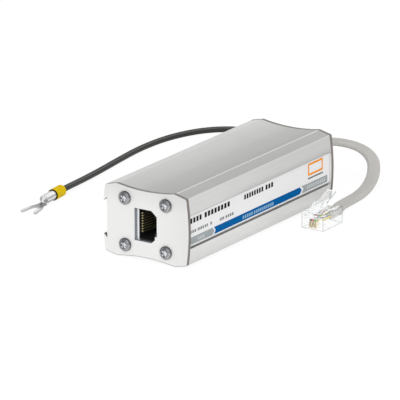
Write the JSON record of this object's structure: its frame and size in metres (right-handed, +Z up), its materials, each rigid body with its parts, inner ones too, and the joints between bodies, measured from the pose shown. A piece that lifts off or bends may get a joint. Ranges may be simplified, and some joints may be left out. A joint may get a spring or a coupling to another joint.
{
  "type": "telephone line surge protector",
  "caption": "Extruded aluminium surge protector with a modular line jack at the front, a flat phone cord with a clear plug and an earth lead with a fork terminal at the rear.",
  "frame": {"origin": "under the middle of the aluminium box, on the surface that it stands on", "axes": "+X towards the labelled side, -Y towards the front plate with the jack, +Z up"},
  "size_m": [0.1179, 0.1597, 0.0282],
  "materials": {
    "anodised_housing": "satin anodised, fine lengthwise grain",
    "anodised_plate": "matt anodised sheet",
    "zinc_steel": "zinc plated, slightly dull",
    "black_plastic": "moulded black",
    "shield_metal": "tinned sheet",
    "gold_contacts": "gold plated",
    "board_laminate": "green solder mask",
    "resistor_coat": "coated, banded",
    "white_ceramic": "unglazed ceramic",
    "bright_metal": "tin plated, bright",
    "grey_jacket": "soft satin jacket",
    "dark_jacket": "satin jacket",
    "tinned_strands": "tinned, fine strands",
    "yellow_plastic": "moulded yellow",
    "black_rubber": "soft black",
    "core_plastic": "thin insulation",
    "label_film": "satin plastic strip",
    "clear_plastic": "clear moulded plastic",
    "core_black": "thin insulation",
    "core_red": "thin insulation",
    "core_green": "thin insulation",
    "core_yellow": "thin insulation"
  },
  "bodies": {
    "unit": {"housing_profile": "anodised_housing", "front_plate": "anodised_plate", "rear_plate": "anodised_plate", "front_screws": "zinc_steel", "rear_screws": "zinc_steel", "jack_housing": "black_plastic", "jack_shield": "shield_metal", "jack_contacts": "gold_contacts", "circuit_board": "board_laminate", "resistor_1": "resistor_coat", "resistor_2": "resistor_coat", "resistor_3": "resistor_coat", "resistor_4": "resistor_coat", "suppressor_diode_1": "black_plastic", "suppressor_diode_2": "black_plastic", "arrester_rings_1": "white_ceramic", "arrester_rings_2": "white_ceramic", "arrester_electrodes_1": "bright_metal", "arrester_electrodes_2": "bright_metal", "phone_cord": "grey_jacket", "earth_lead": "dark_jacket", "fork_terminal": "bright_metal", "terminal_strands": "tinned_strands", "terminal_sleeve": "yellow_plastic", "cord_grommet": "black_rubber", "lead_grommet": "black_rubber", "board_cores": "core_plastic", "board_strands": "tinned_strands", "side_label": "label_film", "plug_body": "clear_plastic", "plug_contacts": "gold_contacts", "plug_core_black": "core_black", "plug_core_red": "core_red", "plug_core_green": "core_green", "plug_core_yellow": "core_yellow"},
    "latch": {"plug_latch": "clear_plastic"}
  },
  "joints": [
    {"name": "latch_press", "type": "hinge", "parent": "unit", "child": "latch", "pos_m": [0.0312, 0.0171, 0.0064], "axis": [1, 0, 0], "range_deg": [-14, 0], "stiffness_Nm_per_rad": 0.02}
  ]
}
